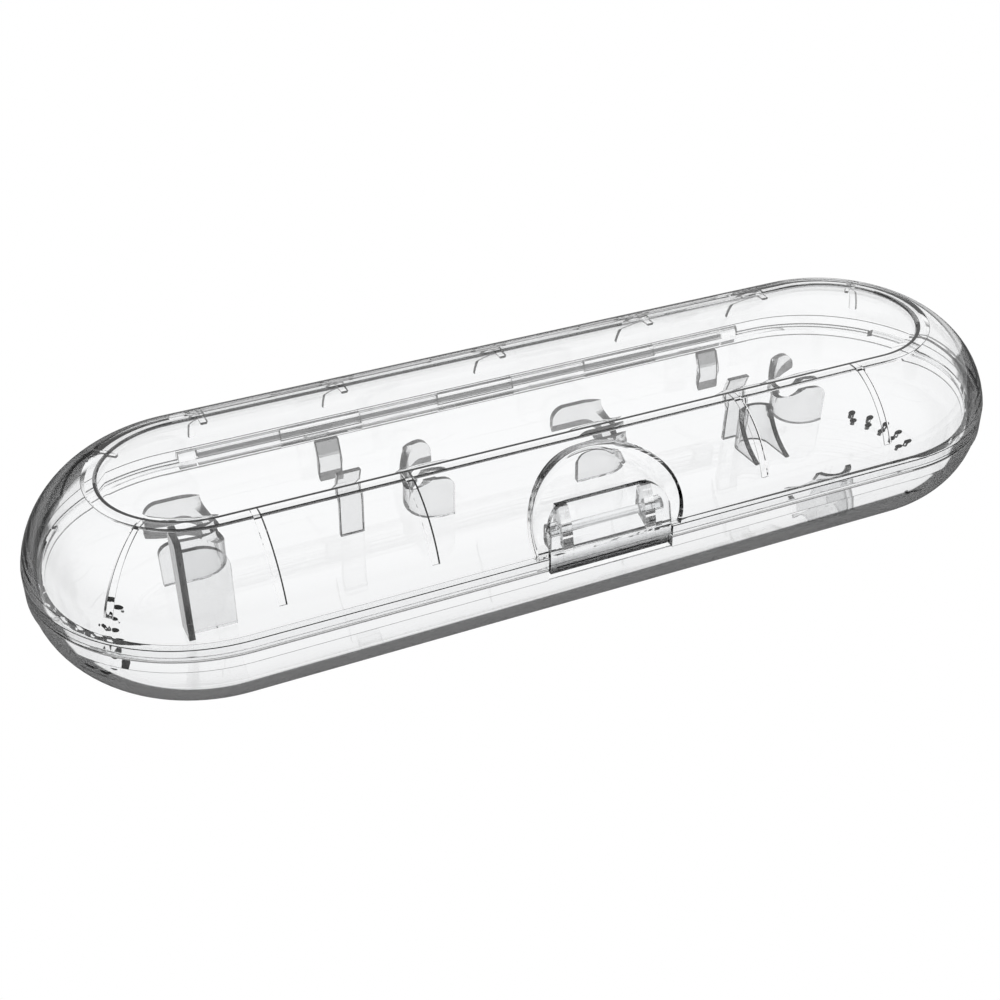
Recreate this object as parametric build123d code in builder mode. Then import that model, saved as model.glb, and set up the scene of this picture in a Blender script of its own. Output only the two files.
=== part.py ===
from build123d import *
import os
from math import asin, cos, degrees, radians, sin

# Clear travel case for an electric toothbrush, in millimetres.
# X runs along the case, +Y to the hinge, +Z up. The origin is the middle of the flat bottom.

# Whole case
case_length = 228
case_width = 74
case_height = 41
parting_height = 20.4
seam = 0.2
wall = 1.7

# Shell sections, as distances from the spine of the capsule
rim_radius = case_width / 2
end_offset = case_length / 2 - rim_radius
rim_wall = 2.1
lid_rim_height = 2.8
rim_shelf = parting_height + lid_rim_height
crest_radius = 22.2
dome_centre = (14.2, parting_height - 1.1)
dome_foot = (rim_radius, rim_shelf)
dome_middle = (31.7, parting_height + 14.1)
dome_crest = (crest_radius, case_height)
roof_underside = case_height - wall
dome_inner_foot = (rim_radius - rim_wall, rim_shelf)
dome_inner_middle = (30.4, parting_height + 13)
dome_inner_crest = (21.6, roof_underside)
window_border = 2.8
window_depth = 0.55
window_slope = 0.25
tray_rim_height = 2.7
tray_rim_bottom = parting_height - tray_rim_height
bottom_radius = 17.2
tray_curve = 19.5
tray_centre = (bottom_radius, tray_curve)
floor_thickness = 1.8

# Locating lip of the tray, which the rim of the lid drops over
lip_height = 1.5
lip_outer = 34.65
lip_inner = 33.3
lip_rear_end = 20
lip_headroom = 0.3

# Stiffening ribs down the inside of the lid
rib_places = (-69.9, -38.2, 0, 38.2, 69.9)
rib_width = 1.3
rib_relief = 0.6
rib_inner_end = 18.1
rib_foot = 6.8
rib_root = 0.6
rib_corner_angles = (45, 135, 225, 315)

# Drain holes in both ends of the tray
vent_diameter = 1.8
vent_count = 5
vent_outer_row = (23.9, 12.4, 10)
vent_inner_row = (21.4, 11.9, 7)

# Hinge along the back, on the parting plane
hinge_y = rim_radius + 0.2
hinge_length = 138
knuckle_count = 7
knuckle_radius = 2.3
knuckle_gap = 0.3
knuckle_relief = 0.35
hinge_pin_radius = 0.95
running_clearance = 0.05
end_cap_length = 4

# Latch pocket: a round scoop, square to a plane that leans back from the rim
pocket_lean = 33
pocket_radius = 16.4
pocket_depth = 3
pocket_round = 2.7
pocket_wall = 1.1
pocket_y = -33.5
pocket_z = parting_height + 5.8

# Latch clasp and its pin
clasp_half_width = 14
clasp_top = parting_height + 12.9
clasp_bottom = parting_height - 1.25
clasp_corner = 5.5
clasp_front = -36.9
clasp_knee = parting_height + 4
clasp_shoulder = (-35.9, parting_height + 8.6)
clasp_top_y = -33.4
clasp_thickness = 1.2
pivot_y = -32.9
pivot_z = parting_height + 6.6
latch_pin_radius = 0.9
latch_pin_length = 26
ear_place = 9.6
ear_width = 2.3
ear_radius = 2.2
ear_top = parting_height + 11.9
ear_foot = parting_height + 0.6
ear_foot_depth = 0.1
ear_step = parting_height + 3.2
lug_place = 12
lug_width = 2
lug_radius = 1.7
barb_height = 0.6
barb_reach = 0.45
catch_reach = 0.55
catch_height = 0.5
catch_back = -34.6
lid_recess_back = -35.5
latch_recess_half = 14.5

# Cups for two brush heads, in a row along the back
head_y = 23.6
cup_radius = 7.05
cup_wall = 1.5
cup_top = parting_height - 6.3
cup_notch_radius = 6
base_notch_height = parting_height - 6.6
head_notch_height = parting_height - 5
cup_corner = 3.5
base_cup_arm = 8.25
head_cup_arm = 2.2
base_cup_places = (-75.75, 26.75)
head_cup_places = (-16.2, 86.3)

# Spring clips for the necks of the brush heads: two fingers in each
clip_places = (-38.9, 63.6)
clip_y = 25.3
clip_half_gap = 5.95
finger_width = 5.8
finger_thickness = 1.3
rear_finger_top = parting_height - 1.6
front_finger_top = parting_height - 1.2
finger_flare = 1.5
finger_flare_height = 3.5
finger_bead = 0.6
finger_bead_height = 4

# Holders for the handle, along the front
handle_y = -4.2
handle_z = parting_height - 1.4
handle_radius = 18
cradle_x = 65.9
cradle_half_width = 4.3
cradle_wall = 1.3
cradle_top = parting_height - 6.5
cradle_start = 6.6
cradle_straight = 15.7
stop_left = -84.2
stop_right = -72.8
stop_half_width = 3
stop_wall = 1.4
stop_rib_top = parting_height + 4.2
stop_top = parting_height + 8.4
stop_round = 6.8

os.makedirs("parts", exist_ok=True)


def finish(builder, label):
    """Name a finished piece and write its STEP file."""
    builder.part.label = label
    export_step(builder.part, f"parts/{label}.step")


def lifted(point, amount):
    """A point of the dome's section, moved outward from the centre of its curve."""
    away = Vector(point) - Vector(dome_centre)
    return Vector(point) + away.normalized() * amount


def lid_section():
    """Section of the lid's wall: rim, dome, flat border and sunk window."""
    rim_bottom = parting_height + seam / 2
    border_edge = crest_radius - window_border
    window_edge = border_edge - window_slope
    window_top = case_height - window_depth
    with BuildSketch() as section:
        with BuildLine():
            ThreePointArc(dome_foot, dome_middle, dome_crest)
            Polyline(
                dome_crest,
                (border_edge, case_height),
                (window_edge, window_top),
                (0, window_top),
                (0, roof_underside),
                dome_inner_crest,
            )
            ThreePointArc(dome_inner_crest, dome_inner_middle, dome_inner_foot)
            Polyline(
                dome_inner_foot,
                (rim_radius - rim_wall, rim_bottom),
                (rim_radius, rim_bottom),
                dome_foot,
            )
        make_face()
    return section.sketch


def tray_arc(thickness):
    """Quarter curve of the tray's side, from its flat bottom up to its rim."""
    radius = tray_curve - thickness
    sweep = 90 - degrees(asin((tray_curve - tray_rim_bottom) / radius))
    return CenterArc(tray_centre, radius, 270, sweep)


def tray_section():
    """Section of the tray's wall: rim, curved side and flat bottom."""
    rim_top = parting_height - seam / 2
    with BuildSketch() as section:
        with BuildLine():
            outside = tray_arc(0)
            inside = tray_arc(floor_thickness)
            Polyline(outside @ 0, (0, 0), (0, floor_thickness), inside @ 0)
            Polyline(
                inside @ 1,
                ((inside @ 1).X, rim_top),
                (rim_radius, rim_top),
                (rim_radius, tray_rim_bottom),
                outside @ 1,
            )
        make_face()
    return section.sketch


def cavity_section():
    """Half of the space inside the tray, carried up past the rim."""
    with BuildSketch() as section:
        with BuildLine():
            inside = tray_arc(floor_thickness)
            Polyline(
                inside @ 1,
                ((inside @ 1).X, case_height),
                (0, case_height),
                (0, floor_thickness),
                inside @ 0,
            )
        make_face()
    return section.sketch


def envelope_section():
    """Half of the solid form of the lid, without its window."""
    with BuildSketch() as section:
        with BuildLine():
            ThreePointArc(dome_foot, dome_middle, dome_crest)
            Polyline(
                dome_crest,
                (0, case_height),
                (0, parting_height),
                (rim_radius, parting_height),
                dome_foot,
            )
        make_face()
    return section.sketch


def lip_section():
    """Section of the lip that stands up inside the tray's rim."""
    foot = tray_rim_bottom - 0.4
    with BuildSketch() as section:
        with Locations(((lip_inner + lip_outer) / 2, (foot + parting_height + lip_height) / 2)):
            Rectangle(lip_outer - lip_inner, parting_height + lip_height - foot)
        with Locations((lip_outer, (foot + parting_height - seam / 2) / 2)):
            Rectangle(1, parting_height - seam / 2 - foot)
    return section.sketch


def rib_section():
    """Rib on the inside of the dome: a band from under the window's edge to above the rim."""
    dome_inside = (dome_inner_foot, dome_inner_middle, dome_inner_crest)
    proud = [lifted(point, -rib_relief) for point in dome_inside]
    rooted = [lifted(point, rib_root) for point in dome_inside]
    with BuildSketch() as section:
        with BuildLine():
            ThreePointArc(*proud)
            Polyline(
                proud[2],
                (rib_inner_end, roof_underside - rib_relief),
                (rib_inner_end, roof_underside + rib_root),
                rooted[2],
            )
            ThreePointArc(*rooted)
            Line(rooted[0], proud[0])
        make_face()
        with Locations((crest_radius, parting_height)):
            Rectangle(case_width, 2 * rib_foot, mode=Mode.SUBTRACT)
    return section.sketch


def run_round(section):
    """Carry a wall section round the capsule: a straight side and a half-turn end, twice."""
    for side in (1, -1):
        start = Plane(
            origin=(side * end_offset, 0, 0),
            x_dir=(0, -side, 0),
            z_dir=(-side, 0, 0),
        )
        with BuildSketch(start) as placed:
            add(section)
        extrude(placed.sketch, amount=2 * end_offset)
        end_axis = Axis((side * end_offset, 0, 0), (0, 0, 1))
        revolve(placed.sketch, axis=end_axis, revolution_arc=180)


def hinge_rods(centres, length, radius):
    """Rods on the hinge axis, one centred at each place along X."""
    with BuildPart() as rods:
        for centre in centres:
            with BuildSketch(Plane.YZ.offset(centre - length / 2)):
                with Locations((hinge_y, parting_height)):
                    Circle(radius)
            extrude(amount=length)
    return rods.part


def latch_recess(bottom, top, back):
    """Shallow cut across the front of a rim, where the clasp lies."""
    with BuildPart() as recess:
        with BuildSketch(Plane.XY.offset(bottom)):
            with Locations((0, back - rim_radius / 2)):
                Rectangle(2 * latch_recess_half, rim_radius)
        extrude(amount=top - bottom)
    return recess.part


# Hinge knuckles, shared out between the tray and the lid
knuckle_pitch = hinge_length / knuckle_count
knuckle_centres = [
    -hinge_length / 2 + knuckle_pitch * (index + 0.5) for index in range(knuckle_count)
]
tray_knuckles = knuckle_centres[0::2]
lid_knuckles = knuckle_centres[1::2]
cap_centre = (hinge_length + end_cap_length) / 2 + knuckle_gap
cap_centres = [-cap_centre, cap_centre]
knuckle_length = knuckle_pitch - knuckle_gap
relief_length = knuckle_pitch + knuckle_gap
relief_radius = knuckle_radius + knuckle_relief
bore_radius = hinge_pin_radius + running_clearance
pin_length = hinge_length + 2 * knuckle_gap

hinge_bore = hinge_rods([0], pin_length, bore_radius)

# Space inside the tray, used to seat every holder on the curved floor
with BuildPart() as cavity:
    run_round(cavity_section())

with BuildPart() as lip:
    run_round(lip_section())
    with BuildSketch(Plane.XY):
        with Locations((0, lip_rear_end + rim_radius)):
            Rectangle(2 * case_length, 2 * rim_radius)
    extrude(amount=2 * case_height, mode=Mode.SUBTRACT)

# Tray
with BuildPart() as tray:
    run_round(tray_section())
    add(lip.part)
    add(hinge_rods(tray_knuckles, knuckle_length, knuckle_radius))
    add(hinge_rods(cap_centres, end_cap_length, knuckle_radius))
    add(hinge_rods(lid_knuckles, relief_length, relief_radius), mode=Mode.SUBTRACT)
    add(hinge_bore, mode=Mode.SUBTRACT)
    add(
        latch_recess(tray_rim_bottom, case_height, catch_back),
        mode=Mode.SUBTRACT,
    )
    catch_plane = Plane.XY.offset(parting_height - seam / 2 - catch_height)
    with BuildSketch(catch_plane):
        with Locations((0, catch_back - catch_reach / 2 + 0.1)):
            Rectangle(2 * clasp_half_width - 4, catch_reach + 0.2)
    extrude(amount=catch_height)
    for side in (1, -1):
        for row_radius, row_pitch, row_middle in (vent_outer_row, vent_inner_row):
            for index in range(vent_count):
                angle = radians(row_middle + row_pitch * (index - (vent_count - 1) / 2))
                hole_x = side * (end_offset + row_radius * cos(angle))
                hole_y = row_radius * sin(angle)
                with BuildSketch(Plane.XY):
                    with Locations((hole_x, hole_y)):
                        Circle(vent_diameter / 2)
                extrude(amount=parting_height / 2, mode=Mode.SUBTRACT)
finish(tray, "tray")

# Latch pocket of the lid: an outer cup that is added, and the scoop cut out of it
pocket_plane = Plane(
    origin=(0, pocket_y, pocket_z),
    x_dir=(1, 0, 0),
    z_dir=(0, -cos(radians(pocket_lean)), sin(radians(pocket_lean))),
)
pocket_bottom = parting_height + lip_height + lip_headroom


def pocket_bowl(radius, depth, rounding, bottom):
    """Round tool with a rounded floor, square to the pocket's plane, kept above a level."""
    with BuildPart() as bowl:
        with BuildSketch(pocket_plane.offset(-depth)):
            Circle(radius)
        extrude(amount=case_width / 2)
        floor_edge = bowl.edges().filter_by(GeomType.CIRCLE).sort_by(Axis.Y)[-1]
        fillet(floor_edge, rounding)
        with BuildSketch(Plane.XY):
            Rectangle(case_length, 2 * case_width)
        extrude(amount=bottom, mode=Mode.SUBTRACT)
    return bowl.part


with BuildPart() as lid_envelope:
    run_round(envelope_section())

with BuildPart() as pocket_boss:
    add(
        pocket_bowl(
            pocket_radius + pocket_wall,
            pocket_depth + pocket_wall,
            pocket_round + pocket_wall,
            pocket_bottom,
        )
    )
    add(lid_envelope.part, mode=Mode.INTERSECT)

pocket_scoop = pocket_bowl(pocket_radius, pocket_depth, pocket_round, rim_shelf)

# Ribs of the lid: straight ones on both sides and one at each rounded corner
dome_rib = rib_section()
with BuildPart() as lid_ribs:
    for place in rib_places:
        for side in (1, -1):
            if place == 0 and side == -1:
                continue
            rib_plane = Plane(
                origin=(place - side * rib_width / 2, 0, 0),
                x_dir=(0, side, 0),
                z_dir=(side, 0, 0),
            )
            with BuildSketch(rib_plane):
                add(dome_rib)
            extrude(amount=rib_width)
    for angle in rib_corner_angles:
        across = radians(angle)
        outward = (cos(across), sin(across), 0)
        sideways = (sin(across), -cos(across), 0)
        centre_x = end_offset if cos(across) > 0 else -end_offset
        corner_plane = Plane(origin=(centre_x, 0, 0), x_dir=outward, z_dir=sideways)
        with BuildSketch(corner_plane.offset(-rib_width / 2)):
            add(dome_rib)
        extrude(amount=rib_width)

# Lugs that hold the latch pin, standing on the lid's rim inside the pocket
with BuildPart() as latch_lugs:
    for place in (-lug_place, lug_place):
        with BuildSketch(Plane.YZ.offset(place - lug_width / 2)):
            with Locations((pivot_y, pivot_z)):
                Circle(lug_radius)
            with Locations((pivot_y, (pivot_z + rim_shelf - 0.5) / 2)):
                Rectangle(2 * lug_radius, pivot_z - rim_shelf + 0.5)
        extrude(amount=lug_width)
    with BuildSketch(Plane.YZ.offset(-latch_pin_length / 2)):
        with Locations((pivot_y, pivot_z)):
            Circle(latch_pin_radius + running_clearance)
    extrude(amount=latch_pin_length, mode=Mode.SUBTRACT)

# Lid
with BuildPart() as lid:
    run_round(lid_section())
    add(lid_ribs.part)
    add(pocket_boss.part)
    add(pocket_scoop, mode=Mode.SUBTRACT)
    add(
        latch_recess(parting_height - 1, rim_shelf + 1, lid_recess_back),
        mode=Mode.SUBTRACT,
    )
    add(latch_lugs.part)
    add(hinge_rods(lid_knuckles, knuckle_length, knuckle_radius))
    add(hinge_rods(tray_knuckles, relief_length, relief_radius), mode=Mode.SUBTRACT)
    add(hinge_rods(cap_centres, end_cap_length + 2 * knuckle_gap, relief_radius), mode=Mode.SUBTRACT)
    add(hinge_bore, mode=Mode.SUBTRACT)
finish(lid, "lid")

# Hinge pin
with BuildPart() as hinge_pin:
    with BuildSketch(Plane.YZ.offset(-hinge_length / 2)):
        with Locations((hinge_y, parting_height)):
            Circle(hinge_pin_radius)
    extrude(amount=hinge_length)
    chamfer(hinge_pin.edges().filter_by(GeomType.CIRCLE), length=0.2)
finish(hinge_pin, "hinge_pin")

# Clasp: a folded plate with a barb below and two tall ears behind
clasp_back = clasp_front + clasp_thickness
with BuildPart() as latch_clasp:
    with BuildSketch(Plane.YZ) as clasp_section:
        with BuildLine():
            Polyline(
                (clasp_top_y + clasp_thickness, clasp_top),
                (clasp_top_y, clasp_top),
                clasp_shoulder,
                (clasp_front, clasp_knee),
                (clasp_front, clasp_bottom),
                (clasp_back, clasp_bottom),
                (clasp_back, clasp_knee),
                (clasp_shoulder[0] + clasp_thickness, clasp_shoulder[1]),
                close=True,
            )
        make_face()
    extrude(amount=clasp_half_width, both=True)
    with BuildSketch(Plane.YZ.offset(-ear_place - ear_width / 2)) as ear_outline:
        with BuildLine():
            Polyline(
                (clasp_top_y + clasp_thickness / 2, ear_top),
                (clasp_shoulder[0] + clasp_thickness / 2, clasp_shoulder[1]),
                (clasp_front + clasp_thickness / 2, clasp_knee),
                (clasp_front + clasp_thickness / 2, ear_foot),
                (clasp_back + ear_foot_depth, ear_foot),
                (clasp_back + ear_foot_depth, ear_step),
                (pivot_y, pivot_z - ear_radius),
                (pivot_y + ear_radius, pivot_z),
                (clasp_top_y + 2 * clasp_thickness, ear_top),
                close=True,
            )
        make_face()
        with Locations((pivot_y, pivot_z)):
            Circle(ear_radius)
    extrude(amount=ear_width)
    extrude(ear_outline.sketch.moved(Location((2 * ear_place, 0, 0))), amount=ear_width)
    with BuildSketch(Plane.XZ) as clasp_outline:
        with Locations((0, (clasp_top + clasp_bottom) / 2)):
            Rectangle(2 * clasp_half_width, clasp_top - clasp_bottom)
        fillet(clasp_outline.vertices().sort_by(Axis.Y)[-2:], clasp_corner)
    extrude(amount=case_width, mode=Mode.INTERSECT)
    with BuildSketch(Plane.XY.offset(clasp_bottom)):
        with Locations((0, clasp_back + barb_reach / 2 - 0.1)):
            Rectangle(2 * clasp_half_width - 4, barb_reach + 0.2)
    extrude(amount=barb_height)
    with BuildSketch(Plane.YZ.offset(-latch_pin_length / 2)):
        with Locations((pivot_y, pivot_z)):
            Circle(latch_pin_radius + running_clearance)
    extrude(amount=latch_pin_length, mode=Mode.SUBTRACT)
finish(latch_clasp, "latch_clasp")

# Latch pin
with BuildPart() as latch_pin:
    with BuildSketch(Plane.YZ.offset(-latch_pin_length / 2)):
        with Locations((pivot_y, pivot_z)):
            Circle(latch_pin_radius)
    extrude(amount=latch_pin_length)
    chamfer(latch_pin.edges().filter_by(GeomType.CIRCLE), length=0.2)
finish(latch_pin, "latch_pin")


def brush_cup(centre_x, open_side, arm, notch_height):
    """Half-round cup that stands on the floor, open to one side, notched on the other."""
    reach = arm + cup_radius
    with BuildPart() as cup:
        with BuildSketch(Plane.XY):
            with Locations((centre_x, head_y)):
                Circle(cup_radius + cup_wall / 2)
                Circle(cup_radius - cup_wall / 2, mode=Mode.SUBTRACT)
            with Locations((centre_x + open_side * case_width / 2, head_y)):
                Rectangle(case_width, case_width, mode=Mode.SUBTRACT)
            arm_x = centre_x + open_side * arm / 2
            with Locations((arm_x, head_y - cup_radius), (arm_x, head_y + cup_radius)):
                Rectangle(arm, cup_wall)
        extrude(amount=cup_top)
        with BuildSketch(Plane.XZ) as cup_outline:
            with Locations((centre_x + open_side * (arm - case_width / 2), cup_top / 2)):
                Rectangle(case_width, cup_top)
            end_corners = cup_outline.vertices().sort_by(Axis.X)
            end_pair = end_corners[-2:] if open_side > 0 else end_corners[:2]
            fillet(end_pair.sort_by(Axis.Y)[-1], cup_corner)
        extrude(amount=-case_width, mode=Mode.INTERSECT)
        with BuildSketch(Plane.YZ.offset(centre_x)):
            with Locations((head_y, notch_height)):
                Circle(cup_notch_radius)
        extrude(amount=-open_side * (reach + cup_wall), mode=Mode.SUBTRACT)
        add(cavity.part, mode=Mode.INTERSECT)
    return cup


base_cup_left = brush_cup(base_cup_places[0], -1, base_cup_arm, base_notch_height)
finish(base_cup_left, "base_cup_left")
base_cup_right = brush_cup(base_cup_places[1], -1, base_cup_arm, base_notch_height)
finish(base_cup_right, "base_cup_right")
head_cup_left = brush_cup(head_cup_places[0], 1, head_cup_arm, head_notch_height)
finish(head_cup_left, "head_cup_left")
head_cup_right = brush_cup(head_cup_places[1], 1, head_cup_arm, head_notch_height)
finish(head_cup_right, "head_cup_right")


def clip_finger(centre_x, side, top):
    """Springy finger beside a neck: a bead on its inner face and a flare at its top."""
    inner = clip_y + side * clip_half_gap
    outer = inner + side * finger_thickness
    flare = side * finger_flare
    bend = top - finger_flare_height
    with BuildPart() as finger:
        with BuildSketch(Plane.YZ.offset(centre_x - finger_width / 2)):
            with BuildLine():
                Polyline(
                    (outer, 0),
                    (outer, bend),
                    (outer + flare, top),
                    (inner + flare, top),
                    (inner, bend),
                    (inner - side * finger_bead, bend - finger_bead_height / 2),
                    (inner, bend - finger_bead_height),
                    (inner, 0),
                    close=True,
                )
            make_face()
        extrude(amount=finger_width)
        add(cavity.part, mode=Mode.INTERSECT)
    return finger


clip_left_rear = clip_finger(clip_places[0], 1, rear_finger_top)
finish(clip_left_rear, "clip_left_rear")
clip_left_front = clip_finger(clip_places[0], -1, front_finger_top)
finish(clip_left_front, "clip_left_front")
clip_right_rear = clip_finger(clip_places[1], 1, rear_finger_top)
finish(clip_right_rear, "clip_right_rear")
clip_right_front = clip_finger(clip_places[1], -1, front_finger_top)
finish(clip_right_front, "clip_right_front")


def handle_cradle(side):
    """Hollow U-shaped block with a scooped top, on one side of the handle."""
    bend_y = handle_y + side * cradle_straight
    with BuildPart() as cradle:
        with BuildSketch(Plane.XY):
            with Locations((cradle_x, bend_y)):
                Circle(cradle_half_width + cradle_wall / 2)
            straight = cradle_straight - cradle_start
            with Locations((cradle_x, bend_y - side * straight / 2)):
                Rectangle(2 * cradle_half_width + cradle_wall, straight)
            with Locations((cradle_x, bend_y)):
                Circle(cradle_half_width - cradle_wall / 2, mode=Mode.SUBTRACT)
            with Locations((cradle_x, bend_y - side * straight)):
                Rectangle(2 * cradle_half_width - cradle_wall, 2 * straight, mode=Mode.SUBTRACT)
        extrude(amount=cradle_top)
        with BuildSketch(Plane.YZ.offset(cradle_x - 2 * cradle_half_width)):
            with Locations((handle_y, handle_z)):
                Circle(handle_radius)
        extrude(amount=4 * cradle_half_width, mode=Mode.SUBTRACT)
        add(cavity.part, mode=Mode.INTERSECT)
    return cradle


cradle_rear = handle_cradle(1)
finish(cradle_rear, "cradle_rear")
cradle_front = handle_cradle(-1)
finish(cradle_front, "cradle_front")

# Stop for the foot of the handle: an upright plate on a rounded rib
with BuildPart() as handle_stop:
    with BuildSketch(Plane.XZ.offset(-handle_y - stop_wall / 2)) as stop_rib:
        with Locations(((stop_left + stop_right) / 2, stop_rib_top / 2)):
            Rectangle(stop_right - stop_left, stop_rib_top)
        fillet(stop_rib.vertices().sort_by(Axis.X)[-2:].sort_by(Axis.Y)[-1], stop_round)
    extrude(amount=stop_wall)
    with BuildSketch(Plane.YZ.offset(stop_left)) as stop_plate:
        with Locations((handle_y, stop_top / 2)):
            Rectangle(2 * stop_half_width, stop_top)
        fillet(stop_plate.vertices().sort_by(Axis.Y)[-2:], stop_half_width / 2)
    extrude(amount=stop_wall)
    add(cavity.part, mode=Mode.INTERSECT)
finish(handle_stop, "handle_stop")
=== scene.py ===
import bpy
import bmesh
import math
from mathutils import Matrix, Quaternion, Vector


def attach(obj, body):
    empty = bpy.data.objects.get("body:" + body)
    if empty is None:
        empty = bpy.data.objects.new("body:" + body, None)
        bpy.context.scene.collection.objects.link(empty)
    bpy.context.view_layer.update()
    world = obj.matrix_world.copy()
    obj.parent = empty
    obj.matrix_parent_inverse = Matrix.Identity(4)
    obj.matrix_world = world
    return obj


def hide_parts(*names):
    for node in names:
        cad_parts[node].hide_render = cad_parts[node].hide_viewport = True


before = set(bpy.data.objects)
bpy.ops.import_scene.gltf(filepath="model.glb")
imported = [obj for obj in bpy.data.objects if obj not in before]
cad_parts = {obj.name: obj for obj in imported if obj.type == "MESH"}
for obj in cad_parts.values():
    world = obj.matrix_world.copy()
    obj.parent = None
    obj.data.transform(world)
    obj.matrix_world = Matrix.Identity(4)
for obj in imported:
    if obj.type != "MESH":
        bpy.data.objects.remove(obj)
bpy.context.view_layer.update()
MM = 0.001

# Sizes in millimetres, as in the CAD source
END = 77.0            # spine half length
PART = 20.4           # parting height
TOP = 41.0
RIM = 37.0
RIM_WALL = 2.1
LID_RIM = 2.8
CREST = 22.2
DOME_MID = (31.7, PART + 14.1)
DOME_HUB = (14.2, PART - 1.1)
IN_CREST = 21.6
IN_MID = (30.4, PART + 13.0)
BORDER = 2.8
SUNK = 0.55
SLOPE = 0.25
WALL = 1.7
TRAY_RIM = 2.7
FLAT = 17.2
TRAY_R = 19.5
FLOOR = 1.8
SEAM = 0.2
LIP_H = 1.5
LIP_OUT = 34.65
LIP_IN = 33.3
LIP_REAR = 20.0
HEADROOM = 0.3
RIB_X = (-69.9, -38.2, 0.0, 38.2, 69.9)
RIB_W = 1.3
RIB_LIFT = 0.6
RIB_END = 18.1
RIB_FOOT = PART + 6.8
LEAN = math.radians(33)
POCKET_R = 16.4
DRAFT = math.radians(18)
POCKET_D = 3.0
POCKET_ROUND = 2.7
POCKET_WALL = 1.1
POCKET_C = (0.0, -33.5, PART + 5.8)
HINGE_Y = 37.2
HINGE_L = 138.0
KNUCKLES = 7
KNUCKLE_R = 2.3
RELIEF_R = 2.65
BORE_R = 1.0
GAP = 0.3
CAP = 4.0
PIVOT = (-32.9, PART + 6.6)
LUG_X = 12.0
LUG_W = 2.0
LUG_R = 1.7
PIN_L = 26.0
PIN_BORE = 0.95
CATCH_Y = -34.6
LID_CUT_Y = -35.5
RECESS = 14.5
VENT_ROWS = ((23.9, 12.4, 10.0), (21.4, 11.9, 7.0))
RIB_SIDE = 0.22       # sloped side of a rib on the straight walls
RIB_SIDE_TURN = 0.45  # the same on the round ends, in degrees
RIB_TURN_R = 30.0     # where a rib on the round ends has its full width
STRIP = 0.75          # painted dark strip along the window's border, as painted shade
STRIP_REAR = 0.6      # how much narrower it is at the rear

# Camera fitted to the photograph, in metres, with its roll in degrees
CAMERA_AT = (-0.1275, -0.2705, 0.2102)
CAMERA_AIM = (-0.00935, -0.00066, 0.0144)
CAMERA_ROLL = -0.683
CAMERA_LENS = 56.3

# Material slots of the two shells: clear, painted dark edge shade, painted grey crease shade, inside
CLEAR, EDGE_SHADE, CREASE_SHADE, INNER = range(4)


# ---------------------------------------------------------------- materials
def grey(level, power=1):
    """A grey of a given screen level, 0 to 255, as linear colour."""
    v = ((level / 255 + 0.055) / 1.055) ** (2.4 * power)
    return (v, min(1, v * 1.003), min(1, v * 1.006), 1)


def ramp_of(nt, stops, power=1):
    """Colour ramp with the given (place, level) stops."""
    node = nt.nodes.new("ShaderNodeValToRGB")
    bar = node.color_ramp
    bar.elements[0].position = stops[0][0]
    bar.elements[0].color = grey(stops[0][1], power)
    bar.elements[1].position = stops[-1][0]
    bar.elements[1].color = grey(stops[-1][1], power)
    for place, level in stops[1:-1]:
        bar.elements.new(place).color = grey(level, power)
    return node


def math_node(nt, operation, *inputs):
    """A maths node whose inputs are sockets or plain numbers."""
    node = nt.nodes.new("ShaderNodeMath")
    node.operation = operation
    for i, value in enumerate(inputs):
        if isinstance(value, (int, float)):
            node.inputs[i].default_value = value
        else:
            nt.links.new(value, node.inputs[i])
    return node.outputs[0]


def between(nt, value, low, high, start, end):
    """Map a value from one range to another, held at both ends."""
    node = nt.nodes.new("ShaderNodeMapRange")
    for name, number in (("From Min", low), ("From Max", high), ("To Min", start), ("To Max", end)):
        node.inputs[name].default_value = number
    nt.links.new(value, node.inputs["Value"])
    return node.outputs[0]


def mixed(nt, factor, low, high, blend="MIX"):
    """A colour mix whose factor and colours are sockets or plain values."""
    node = nt.nodes.new("ShaderNodeMix")
    node.data_type = "RGBA"
    node.blend_type = blend
    for i, value in ((0, factor), (6, low), (7, high)):
        if isinstance(value, bpy.types.NodeSocket):
            nt.links.new(value, node.inputs[i])
        else:
            node.inputs[i].default_value = value
    return node.outputs[2]


def own_frame(nt, vector, kind):
    """A world vector taken into the piece's own frame, so that a moved piece keeps its look."""
    node = nt.nodes.new("ShaderNodeVectorTransform")
    node.vector_type = kind
    node.convert_from = "WORLD"
    node.convert_to = "OBJECT"
    split = nt.nodes.new("ShaderNodeSeparateXYZ")
    nt.links.new(vector, node.inputs[0])
    nt.links.new(node.outputs[0], split.inputs[0])
    return split


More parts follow.
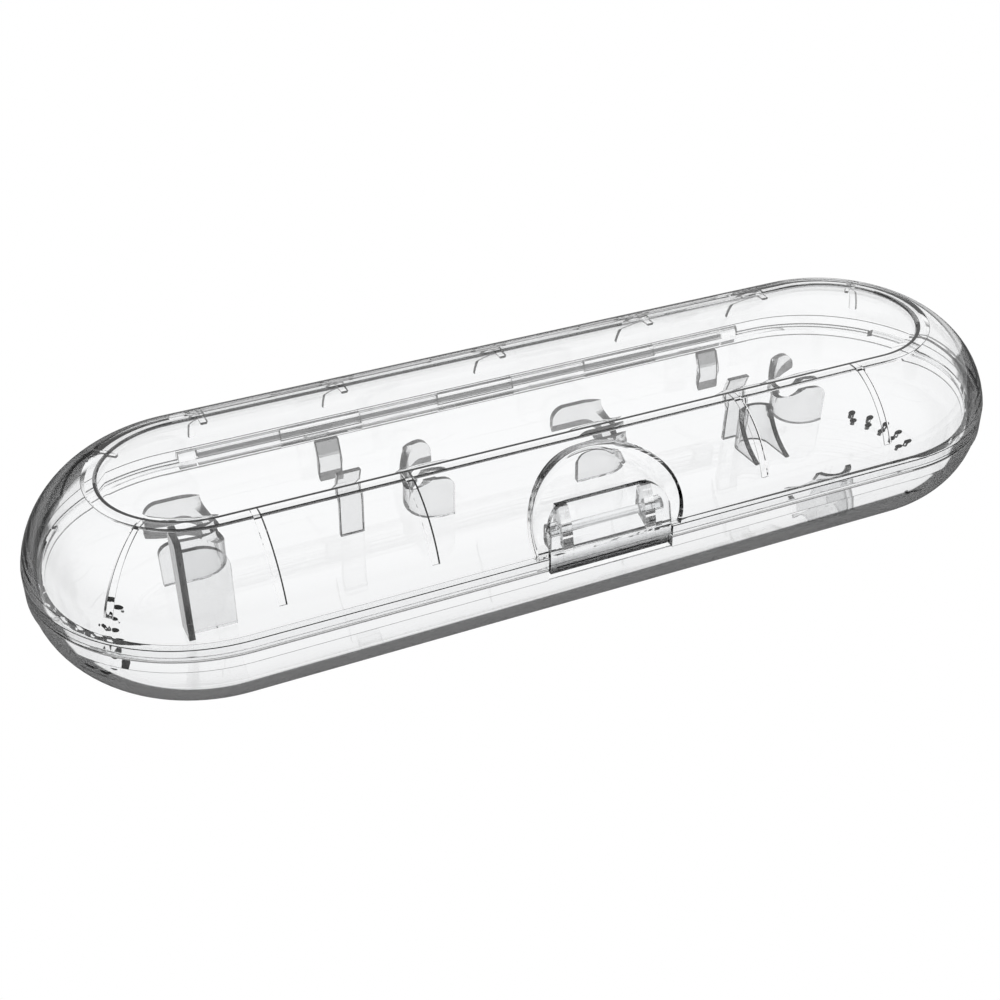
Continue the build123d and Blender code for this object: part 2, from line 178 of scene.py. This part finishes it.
def clear_plastic(name, stops, rough=0.0, flat_clear=False, bright_side=0.0,
                  light_right=None, painted_top_shade=None, painted_low_shade=None, painted_left_shade=None, painted_rear_shade=None):
    """Clear moulded plastic: refracts, and its colour darkens as painted shade where its walls are seen
    edge-on.
    """
    m = bpy.data.materials.new(name)
    m.use_nodes = True
    nt = m.node_tree
    bsdf = nt.nodes["Principled BSDF"]
    bsdf.inputs["Transmission Weight"].default_value = 1.0
    bsdf.inputs["IOR"].default_value = 1.49
    bsdf.inputs["Roughness"].default_value = rough
    weight = nt.nodes.new("ShaderNodeLayerWeight")
    weight.inputs["Blend"].default_value = 0.5
    shape = nt.nodes.new("ShaderNodeNewGeometry")
    normal = own_frame(nt, shape.outputs["Normal"], "NORMAL")
    place = own_frame(nt, shape.outputs["Position"], "POINT")
    edge_on = weight.outputs["Facing"]
    # Flat level faces get no painted edge shade
    if flat_clear:
        level = math_node(nt, "ABSOLUTE", normal.outputs["Z"])
        edge_on = math_node(nt, "MULTIPLY", edge_on, between(nt, level, 0.95, 0.99, 1, 0))
    # Painted light: less painted edge shade on faces turned up and to the right, more so further right
    if bright_side:
        to_light = math_node(nt, "MULTIPLY", place.outputs["X"], 3)
        for axis, part in (("X", 0.45), ("Y", 0.3), ("Z", 0.75)):
            to_light = math_node(nt, "MULTIPLY_ADD", normal.outputs[axis], part, to_light)
        edge_on = math_node(nt, "SUBTRACT", edge_on, between(nt, to_light, 0.9, 1.1, 0, bright_side))
    # Painted light: less painted edge shade towards the right
    if light_right:
        start, end = (x * MM for x in light_right)
        edge_on = math_node(nt, "SUBTRACT", edge_on, between(nt, place.outputs["X"], start, end, 0, 0.45))
    # Painted shade: the colour goes from the plastic's near-white tone to grey or black as the wall turns
    # edge-on
    tone_and_edge_shade = ramp_of(nt, stops, 2)
    nt.links.new(edge_on, tone_and_edge_shade.inputs["Fac"])
    colour = tone_and_edge_shade.outputs["Color"]
    shades = []
    # Painted shade: faces turned upwards are darkened
    if painted_top_shade:
        shades.append(between(nt, normal.outputs["Z"], *painted_top_shade))
    # Painted shade: faces turned to the rear are darkened, more so towards the left
    if painted_rear_shade:
        far_left = between(nt, place.outputs["X"], painted_rear_shade[0] * MM, painted_rear_shade[1] * MM, painted_rear_shade[2], 0)
        rear = math_node(nt, "MULTIPLY", far_left, between(nt, normal.outputs["Y"], 0.3, 0.7, 0, 1))
        shades.append(math_node(nt, "SUBTRACT", 1.0, rear))
    # Painted shade: darker low down and at the far left
    for axis, reach in (("Z", painted_low_shade), ("X", painted_left_shade)):
        if reach:
            shades.append(between(nt, place.outputs[axis], reach[0] * MM, reach[1] * MM, reach[2], 1))
    for shade in shades:
        colour = mixed(nt, 1.0, colour, shade, "MULTIPLY")
    nt.links.new(colour, bsdf.inputs["Base Color"])
    return m


# Each clear plastic has its own painted edge shade; the lid, pocket, holders, handle stop and clasp also get
# painted light or painted shade by side, height or place
lid_mat = clear_plastic("lid_plastic", [(0, 254), (0.54, 250), (0.57, 132), (1, 125)], flat_clear=True,
                        bright_side=0.45, painted_rear_shade=(-90, 20, 0.55))
tray_mat = clear_plastic("tray_plastic", [(0, 254), (0.53, 250), (0.55, 118), (1, 112)], flat_clear=True)
pocket_mat = clear_plastic("pocket_plastic", [(0, 254), (0.54, 250), (0.57, 105), (1, 75)],
                           light_right=(-8, 4))
inner_mat = clear_plastic("inner_plastic", [(0, 254), (1, 251)])
holder_mat = clear_plastic("holder_plastic", [(0, 246), (0.5, 238), (0.7, 150), (1, 70)],
                           painted_top_shade=(0.3, 0.45, 1, 0.03))
stop_mat = clear_plastic("stop_plastic", [(0, 247), (0.55, 240), (0.62, 110), (1, 60)],
                         painted_top_shade=(0.3, 0.45, 1, 0.03), painted_left_shade=(-82.9, -82.7, 0.012))
clasp_mat = clear_plastic("clasp_plastic", [(0, 254), (0.5, 252), (0.7, 110), (1, 50)],
                          painted_top_shade=(0.7, 0.85, 1, 0.02), painted_low_shade=(PART - 0.6, PART + 2.2, 0.08))
# Painted shade: near-black and grey plastic laid on edges and creases, standing in for the dark lines that
# refraction draws there
edge_shade_mat = clear_plastic("plastic_painted_edge_shade", [(0, 8), (1, 4)])
crease_shade_mat = clear_plastic("plastic_painted_crease_shade", [(0, 150), (1, 130)])
rod_mat = clear_plastic("rod_plastic", [(0, 252), (0.55, 246), (1, 80)])
pin_mat = clear_plastic("pin_plastic", [(0, 165), (1, 120)], rough=0.25)


# ---------------------------------------------------------------- profiles
def arc(cx, cz, rx, rz, a0, a1, n):
    return [(cx + rx * math.cos(math.radians(a0 + (a1 - a0) * i / n)),
             cz + rz * math.sin(math.radians(a0 + (a1 - a0) * i / n))) for i in range(n + 1)]


def softened(points, radius, steps=6, turn=25):
    """The polyline with its sharp corners rounded."""
    out = [points[0]]
    for a, b, c in zip(points, points[1:], points[2:]):
        u = Vector((a[0] - b[0], a[1] - b[1]))
        v = Vector((c[0] - b[0], c[1] - b[1]))
        if u.length < 1e-6 or v.length < 1e-6:
            continue
        if math.degrees(math.pi - u.angle(v)) < turn:
            out.append(b)
            continue
        t = min(radius, 0.4 * u.length, 0.4 * v.length)
        p = Vector(b) + u.normalized() * t
        q = Vector(b) + v.normalized() * t
        for i in range(steps + 1):
            s = i / steps
            w = p * (1 - s) ** 2 + Vector(b) * 2 * s * (1 - s) + q * s * s
            out.append((w.x, w.y))
    out.append(points[-1])
    return out


def stations(ribs):
    """Places round the capsule: (base x, direction angle, rib height factor)."""
    out = []
    half = RIB_W / 2

    def along(angle, x_from, x_to, places):
        sign = 1 if x_to > x_from else -1
        marks = []
        for p in sorted(places, key=lambda q: sign * q):
            marks += [(p - sign * (half + RIB_SIDE), 0), (p - sign * half, 1),
                      (p + sign * half, 1), (p + sign * (half + RIB_SIDE), 0)]
        spots = [(x_from, 0)] + marks + [(x_to, 0)]
        fine = []
        for (x0, r0), (x1, r1) in zip(spots, spots[1:]):
            n = max(1, int(abs(x1 - x0) // 6))
            for i in range(n):
                if i == 0:
                    fine.append((x0, r0))
                else:
                    fine.append((x0 + (x1 - x0) * i / n, 0))
        return [(x, angle, r) for x, r in fine]

    def around(cx, a0, places):
        edge = math.degrees(half / RIB_TURN_R)
        marks = []
        for p in places:
            marks += [(p - edge - RIB_SIDE_TURN, 0), (p - edge, 1),
                      (p + edge, 1), (p + edge + RIB_SIDE_TURN, 0)]
        spots = [(a0, 0)] + marks + [(a0 + 180, 0)]
        fine = []
        for (t0, r0), (t1, r1) in zip(spots, spots[1:]):
            n = max(1, int(abs(t1 - t0) // 3.5))
            for i in range(n):
                fine.append((t0 if i == 0 else t0 + (t1 - t0) * i / n, r0 if i == 0 else 0))
        return [(cx, t, r) for t, r in fine]

    corner = (lambda *a: list(a)) if ribs else (lambda *a: [])
    out += around(END, -90, corner(-45, 45))
    out += along(90, END, -END, RIB_X if ribs else ())
    out += around(-END, 90, corner(135, 225))
    out += along(270, -END, END, [x for x in RIB_X if x] if ribs else ())
    return out


def capsule(name, profile, ribs=False, lift=None, inner=None, narrow=None):
    """A shell whose section runs round the capsule, capped by flat faces.

    Ribs move the section's points by lift, and the faces from inner on get the inside's material.
    The section's point number narrow comes in towards the rear.
    """
    ring = stations(ribs)
    bm = bmesh.new()
    rows = []
    for bx, angle, rise in ring:
        c, s = math.cos(math.radians(angle)), math.sin(math.radians(angle))
        row = []
        for k, (r, z) in enumerate(profile):
            dr, dz = lift[k] if (lift and rise) else (0, 0)
            if k == narrow:
                dr -= STRIP_REAR * min(1, max(0, (s + 0.3) / 1.2))
            row.append(bm.verts.new(((bx + (r + dr) * c) * MM, (r + dr) * s * MM, (z + dz) * MM)))
        rows.append(row)
    n = len(rows)
    m = len(profile)
    for i in range(n):
        a, b = rows[i], rows[(i + 1) % n]
        sign = 1 if ring[(i + 1) % n][2] > ring[i][2] else -1
        for k in range(m - 1):
            face = bm.faces.new((a[k], b[k], b[k + 1], a[k + 1]))
            if inner is None:
                continue
            if k >= inner:
                face.material_index = INNER
            # Painted shade on the ribs: their sides dark on one side and grey on the other, and a dark line
            # where they start and stop
            if lift and ring[(i + 1) % n][2] != ring[i][2] and lift[k] != (0, 0) and lift[k + 1] != (0, 0):
                sideways = (b[k].co - a[k].co).x * sign
                face.material_index = EDGE_SHADE if sideways > 0 else CREASE_SHADE
            elif lift and ring[i][2] and (lift[k] == (0, 0)) != (lift[k + 1] == (0, 0)):
                face.material_index = EDGE_SHADE
    bm.faces.new([row[0] for row in reversed(rows)])
    last = bm.faces.new([row[-1] for row in rows])
    if inner is not None:
        last.material_index = INNER
    bmesh.ops.remove_doubles(bm, verts=bm.verts, dist=1e-7)
    bmesh.ops.recalc_face_normals(bm, faces=bm.faces)
    return made(name, bm)


def made(name, bm):
    mesh = bpy.data.meshes.new(name)
    bm.to_mesh(mesh)
    bm.free()
    ob = bpy.data.objects.new(name, mesh)
    bpy.context.scene.collection.objects.link(ob)
    return ob


def painted(ob, mat):
    ob.data.materials.append(mat)
    return ob


def lathe(name, runs, profile, sides=48):
    """Closed turned bodies: the profile of (radius, height) spins about each origin and axis."""
    bm = bmesh.new()
    for origin, axis in runs:
        origin, axis = Vector(origin) * MM, Vector(axis).normalized()
        side = axis.orthogonal().normalized()
        up = axis.cross(side)
        rings = []
        for radius, height in profile:
            ring = []
            for i in range(sides):
                t = 2 * math.pi * i / sides
                ring.append(bm.verts.new(origin + axis * height * MM
                                         + (side * math.cos(t) + up * math.sin(t)) * radius * MM))
            rings.append(ring)
        for low, high in zip(rings, rings[1:]):
            for i in range(sides):
                j = (i + 1) % sides
                bm.faces.new((low[i], low[j], high[j], high[i]))
        bm.faces.new(list(reversed(rings[0])))
        bm.faces.new(rings[-1])
    bmesh.ops.recalc_face_normals(bm, faces=bm.faces)
    return made(name, bm)


def x_rods(name, centres, length, radius, y, z, sides=40):
    """Rods along X, one centred at each place."""
    return lathe(name, [((c - length / 2, y, z), (1, 0, 0)) for c in centres],
                 [(radius, 0), (radius, length)], sides)


def block(name, lo, hi):
    bm = bmesh.new()
    bmesh.ops.create_cube(bm, size=1)
    for v in bm.verts:
        v.co = Vector([(l + h) / 2 + (h - l) * c for l, h, c in zip(lo, hi, v.co)]) * MM
    bmesh.ops.recalc_face_normals(bm, faces=bm.faces)
    return made(name, bm)


def cut(target, tool, operation="DIFFERENCE"):
    mod = target.modifiers.new("b", "BOOLEAN")
    mod.operation = operation
    mod.object = tool
    mod.solver = "EXACT"
    mod.material_mode = "TRANSFER"
    bpy.context.view_layer.objects.active = target
    target.select_set(True)
    bpy.ops.object.modifier_apply(modifier=mod.name)
    target.select_set(False)
    bpy.data.objects.remove(tool)


def smooth(ob, angle=16):
    for p in ob.data.polygons:
        p.use_smooth = True
    bm = bmesh.new()
    bm.from_mesh(ob.data)
    for e in bm.edges:
        e.smooth = len(e.link_faces) == 2 and e.calc_face_angle(0) < math.radians(angle)
    bm.to_mesh(ob.data)
    bm.free()


def dress(ob, body, angle=16):
    smooth(ob, angle)
    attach(ob, body)
    return ob


def through(p, q, r, n):
    """Points along the circle that runs from p through q to r."""
    ax, az = p
    bx, bz = q
    cx, cz = r
    d = 2 * (ax * (bz - cz) + bx * (cz - az) + cx * (az - bz))
    ux = ((ax**2 + az**2) * (bz - cz) + (bx**2 + bz**2) * (cz - az) + (cx**2 + cz**2) * (az - bz)) / d
    uz = ((ax**2 + az**2) * (cx - bx) + (bx**2 + bz**2) * (ax - cx) + (cx**2 + cz**2) * (bx - ax)) / d
    radius = math.hypot(ax - ux, az - uz)
    start = math.degrees(math.atan2(az - uz, ax - ux))
    end = math.degrees(math.atan2(cz - uz, cx - ux))
    return arc(ux, uz, radius, radius, start, end, n)


# ---------------------------------------------------------------- lid
rim_top = PART + LID_RIM
rim_bottom = PART + SEAM / 2
roof = TOP - WALL
edge = CREST - BORDER
win = TOP - SUNK
dome = through((CREST, TOP), DOME_MID, (RIM, rim_top), 32)
dome.insert(1, tuple(Vector(dome[0]).lerp(Vector(dome[1]), 0.2)))
outer = softened([(RIB_END - 0.5, win), (edge - SLOPE, win), (edge, TOP), (edge + STRIP, TOP)] + dome, 0.12, 2)
low = [(RIM, rim_top - 0.25), (RIM, rim_bottom), (RIM - RIM_WALL, rim_bottom)]
vault = through((RIM - RIM_WALL, rim_top), IN_MID, (IN_CREST, roof), 30)
rise = next(i for i, q in enumerate(vault) if q[1] > RIB_FOOT)
share = (RIB_FOOT - vault[rise - 1][1]) / (vault[rise][1] - vault[rise - 1][1])
foot = [u + (v - u) * share for u, v in zip(vault[rise - 1], vault[rise])]
rim_line = softened([outer[-1]] + low + vault[:rise] + [tuple(foot)], 0.2, 6, 20)[1:-1]
ribbed = [(foot[0], foot[1] + 0.01)] + vault[rise:] + [(RIB_END, roof)]
lid_line = outer + rim_line + [tuple(foot)] + ribbed + [(RIB_END - 0.02, roof), (RIB_END - 0.5, roof)]
first = len(outer) + len(rim_line) + 1
lift = [(0, 0)] * len(lid_line)
for i, (r, z) in enumerate(ribbed):
    away = (Vector((max(r, IN_CREST), z)) - Vector(DOME_HUB)).normalized()
    lift[first + i] = tuple(away * -RIB_LIFT) if r > IN_CREST - 0.01 else (0, -RIB_LIFT)
strip = min(range(len(outer)), key=lambda i: abs(outer[i][0] - edge - STRIP))
lid = capsule("lid_shell", lid_line, ribs=True, lift=lift, inner=first - 1, narrow=strip)
for mat in (lid_mat, edge_shade_mat, crease_shade_mat, inner_mat):
    painted(lid, mat)
# Painted shade: dark and grey lines on the window's border strip, along the crest and on the rim's edges
for face in lid.data.polygons:
    spot = face.center / MM
    reach = math.hypot(max(0, abs(spot.x) - END), spot.y)
    if spot.z > win + 0.02 and edge - SLOPE < reach < edge + STRIP - 0.01:
        # The studio is bright at the rear right, so the border has no painted dark line there
        lit = CLEAR if spot.x > 30 and spot.y > 8 else CREASE_SHADE
        face.material_index = EDGE_SHADE if spot.y < 2 and (spot.x < 60 or spot.y < -10) else lit
    elif spot.z > TOP - 0.2 and CREST + 0.01 < reach < dome[1][0]:
        face.material_index = CREASE_SHADE
    elif reach > RIM - 0.19 and (spot.z < rim_bottom + 0.19 or rim_top - 0.2 < spot.z < rim_top):
        face.material_index = EDGE_SHADE


def bowl(name, radius, depth, rounding, bottom, sides=120):
    """Drafted round tool with a rounded floor, square to the pocket's leaning plane."""
    lean = Vector((0, -math.cos(LEAN), math.sin(LEAN)))
    slope = math.tan(DRAFT)
    hub = radius - (depth - rounding) * slope - rounding / math.cos(DRAFT)
    profile = [(hub - 0.01, -depth)]
    profile += arc(hub, rounding - depth, rounding, rounding, 270, 360 - math.degrees(DRAFT), 10)
    profile += [(radius + 8 * slope, 8), (radius + 8 * slope, 20)]
    tool = painted(lathe(name, [(POCKET_C, lean)], profile, sides), pocket_mat)
    cut(tool, block("below", (-60, -80, -5), (60, 20, bottom)))
    return tool


boss = bowl("boss", POCKET_R + POCKET_WALL, POCKET_D + POCKET_WALL, POCKET_ROUND + POCKET_WALL,
            PART + LIP_H + HEADROOM)
hull_line = [(edge - 2, TOP - 0.7), (CREST - 0.25, TOP - 0.25)]
hull_line += [tuple(Vector(p) - (Vector(p) - Vector(DOME_HUB)).normalized() * 0.25) for p in dome]
hull_line += [(RIM - 0.25, PART), (edge - 2, PART)]
cut(boss, painted(capsule("hull", hull_line), lid_mat), "INTERSECT")
cut(lid, boss, "UNION")
cut(lid, bowl("scoop", POCKET_R, POCKET_D, POCKET_ROUND, rim_top))
cut(lid, block("lid_cut", (-RECESS, -60, PART - 1), (RECESS, LID_CUT_Y, rim_top + 1)))

# Lugs for the latch pin
for side in (1, -1):
    lug = x_rods("lug", [side * LUG_X], LUG_W, LUG_R, *PIVOT)
    cut(lug, block("foot", (side * LUG_X - LUG_W / 2, PIVOT[0] - LUG_R, rim_top - 0.5),
                   (side * LUG_X + LUG_W / 2, PIVOT[0] + LUG_R, PIVOT[1])), "UNION")
    cut(lid, lug, "UNION")
cut(lid, x_rods("lug_bore", [0], PIN_L, PIN_BORE, *PIVOT, 24))

# Hinge knuckles, shared out between the lid and the tray
pitch = HINGE_L / KNUCKLES
centres = [-HINGE_L / 2 + pitch * (i + 0.5) for i in range(KNUCKLES)]
tray_knuckles, lid_knuckles = centres[0::2], centres[1::2]
cap_place = (HINGE_L + CAP) / 2 + GAP
caps = [-cap_place, cap_place]


def hinged(shell, own, others):
    """Add a shell's own knuckles and clear the places where the other knuckles turn."""
    for length, places in own:
        cut(shell, x_rods("knuckles", places, length, KNUCKLE_R, HINGE_Y, PART), "UNION")
    for length, places in others:
        cut(shell, x_rods("reliefs", places, length, RELIEF_R, HINGE_Y, PART))
    cut(shell, x_rods("bore", [0], HINGE_L + 2 * GAP, BORE_R, HINGE_Y, PART, 24))


hinged(lid, [(pitch - GAP, lid_knuckles)], [(pitch + GAP, tray_knuckles), (CAP + 2 * GAP, caps)])
dress(lid, "lid_body")
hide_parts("lid")

# ---------------------------------------------------------------- tray
t_top = PART - SEAM / 2
t_low = PART - TRAY_RIM


def side_arc(thickness, n):
    radius = TRAY_R - thickness
    stop = 360 - math.degrees(math.asin((TRAY_R - t_low) / radius))
    return arc(FLAT, TRAY_R, radius, radius, 270, stop, n)


side_line = [(FLAT - 0.6, 0)] + side_arc(0, 30)
inside = list(reversed(side_arc(FLOOR, 28))) + [(FLAT - 0.6, FLOOR)]
rim_line = [(RIM, t_low), (RIM, t_top), (LIP_OUT, t_top), (LIP_OUT, PART + LIP_H), (LIP_IN, PART + LIP_H),
            (LIP_IN, t_low - 0.4)]
inside = [p for p in inside if p[1] < 13]
tray = capsule("tray_shell", softened(side_line + rim_line + inside, 0.2, 6, 20), inner=len(side_line) + 20)
for mat in (tray_mat, edge_shade_mat, crease_shade_mat, inner_mat):
    painted(tray, mat)
# Painted shade: a dark line along the rim's lower edge and a grey one along its top
for face in tray.data.polygons:
    spot = face.center / MM
    reach = math.hypot(max(0, abs(spot.x) - END), spot.y)
    if RIM - 0.37 < reach and abs(spot.z - t_low) < 0.25:
        face.material_index = EDGE_SHADE
    elif reach > RIM - 0.19 and spot.z > t_top - 0.19:
        face.material_index = CREASE_SHADE
cut(tray, block("lip_end", (-150, LIP_REAR, t_top), (150, 60, 60)))
cut(tray, block("tray_cut", (-RECESS, -60, t_low), (RECESS, CATCH_Y, 60)))
cut(tray, block("catch", (-12, CATCH_Y - 0.55, t_top - 0.5), (12, CATCH_Y + 0.2, t_top)), "UNION")
vents = []
for side in (1, -1):
    for row, step, middle in VENT_ROWS:
        for i in range(5):
            a = math.radians(middle + step * (i - 2))
            vents.append(((side * (END + row * math.cos(a)), row * math.sin(a), -2), (0, 0, 1)))
# The vent holes' walls get the painted dark edge shade
cut(tray, painted(lathe("vents", vents, [(0.9, 0), (0.9, 12)], 20), edge_shade_mat))
hinged(tray, [(pitch - GAP, tray_knuckles), (CAP, caps)], [(pitch + GAP, lid_knuckles)])
dress(tray, "tray_body")
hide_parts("tray")

# ---------------------------------------------------------------- CAD nodes that stay
for name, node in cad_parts.items():
    if name in ("lid", "tray"):
        continue
    mat = {"latch_clasp": clasp_mat, "latch_pin": rod_mat, "hinge_pin": pin_mat,
           "handle_stop": stop_mat}.get(name, holder_mat)
    node.data.materials.clear()
    node.data.materials.append(mat)
    if name == "hinge_pin":
        continue
    # Bevelled edges get the painted dark edge shade
    node.data.materials.append(edge_shade_mat)
    weld = node.modifiers.new("weld", "WELD")
    weld.merge_threshold = 0.000002
    rim = node.modifiers.new("edges", "BEVEL")
    rim.width = 0.00022
    rim.segments = 1
    rim.limit_method = "ANGLE"
    rim.angle_limit = math.radians(35)
    rim.material = 1
    crisp = node.modifiers.new("crisp", "EDGE_SPLIT")
    crisp.split_angle = math.radians(25)

# ---------------------------------------------------------------- stage
def white_paper():
    """Paper that glows as painted light: white to the camera, white through the plastic near the middle and
    darker further out, and grey where it is mirrored.
    """
    m = bpy.data.materials.new("paper")
    m.use_nodes = True
    nt = m.node_tree
    plain = nt.nodes["Principled BSDF"]
    plain.inputs["Base Color"].default_value = (0.9, 0.9, 0.9, 1)
    plain.inputs["Roughness"].default_value = 0.9
    path = nt.nodes.new("ShaderNodeLightPath").outputs
    where = nt.nodes.new("ShaderNodeNewGeometry")
    far = nt.nodes.new("ShaderNodeVectorMath")
    far.operation = "LENGTH"
    nt.links.new(where.outputs["Position"], far.inputs[0])
    # Painted shade: the glow seen through the plastic fades with distance from the middle of the stage
    fall = ramp_of(nt, [(0.3, 255), (0.5, 195), (1.0, 65)])
    nt.links.new(far.outputs["Value"], fall.inputs["Fac"])
    # Painted shade: reflections of the paper are grey
    mirrored = mixed(nt, path["Is Reflection Ray"], fall.outputs["Color"], grey(102))
    glow = nt.nodes.new("ShaderNodeEmission")
    nt.links.new(mixed(nt, path["Is Camera Ray"], mirrored, (1, 1, 1, 1)), glow.inputs["Color"])
    through = math_node(nt, "MAXIMUM", path["Is Camera Ray"], path["Is Transmission Ray"])
    glowing = math_node(nt, "MAXIMUM", through, path["Is Glossy Ray"])
    mix = nt.nodes.new("ShaderNodeMixShader")
    nt.links.new(glowing, mix.inputs["Fac"])
    nt.links.new(plain.outputs[0], mix.inputs[1])
    nt.links.new(glow.outputs[0], mix.inputs[2])
    nt.links.new(mix.outputs[0], nt.nodes["Material Output"].inputs["Surface"])
    return m


floor = painted(block("floor", (-3000, -3000, -5), (3000, 3000, -0.02)), white_paper())


def studio():
    """Light from above and from the right, fading to grey low down, and white to the camera."""
    world = bpy.data.worlds.new("studio")
    bpy.context.scene.world = world
    world.use_nodes = True
    wt = world.node_tree
    sky = wt.nodes["Background"]
    coords = wt.nodes.new("ShaderNodeTexCoord")
    split = wt.nodes.new("ShaderNodeSeparateXYZ")
    wt.links.new(coords.outputs["Generated"], split.inputs[0])
    shade = ramp_of(wt, [(0.0, 68), (0.12, 124), (0.3, 188), (0.5, 249), (0.7, 255)])
    to_right = between(wt, split.outputs["X"], 0.0, 0.7, 0, 0.5)
    wt.links.new(math_node(wt, "ADD", split.outputs["Z"], to_right), shade.inputs["Fac"])
    seen = wt.nodes.new("ShaderNodeLightPath").outputs
    light = mixed(wt, seen["Is Camera Ray"], shade.outputs["Color"], (1, 1, 1, 1))
    wt.links.new(light, sky.inputs["Color"])
    sky.inputs["Strength"].default_value = 1.0


studio()

# Light passes many clear walls before it leaves the case
cycles = bpy.context.scene.cycles
cycles.max_bounces = 24
cycles.transmission_bounces = 24
cycles.glossy_bounces = 12
cycles.transparent_max_bounces = 16

# ---------------------------------------------------------------- camera
cam_data = bpy.data.cameras.new("camera")
cam_data.lens = CAMERA_LENS
cam_data.sensor_width = 36
cam_data.clip_start = 0.01
cam = bpy.data.objects.new("camera", cam_data)
bpy.context.scene.collection.objects.link(cam)
cam.location = CAMERA_AT
cam.rotation_mode = "QUATERNION"
look = (Vector(CAMERA_AIM) - cam.location).to_track_quat("-Z", "Y")
cam.rotation_quaternion = look @ Quaternion((0, 0, 1), math.radians(CAMERA_ROLL))
bpy.context.scene.camera = cam
bpy.context.scene.view_settings.view_transform = "Standard"
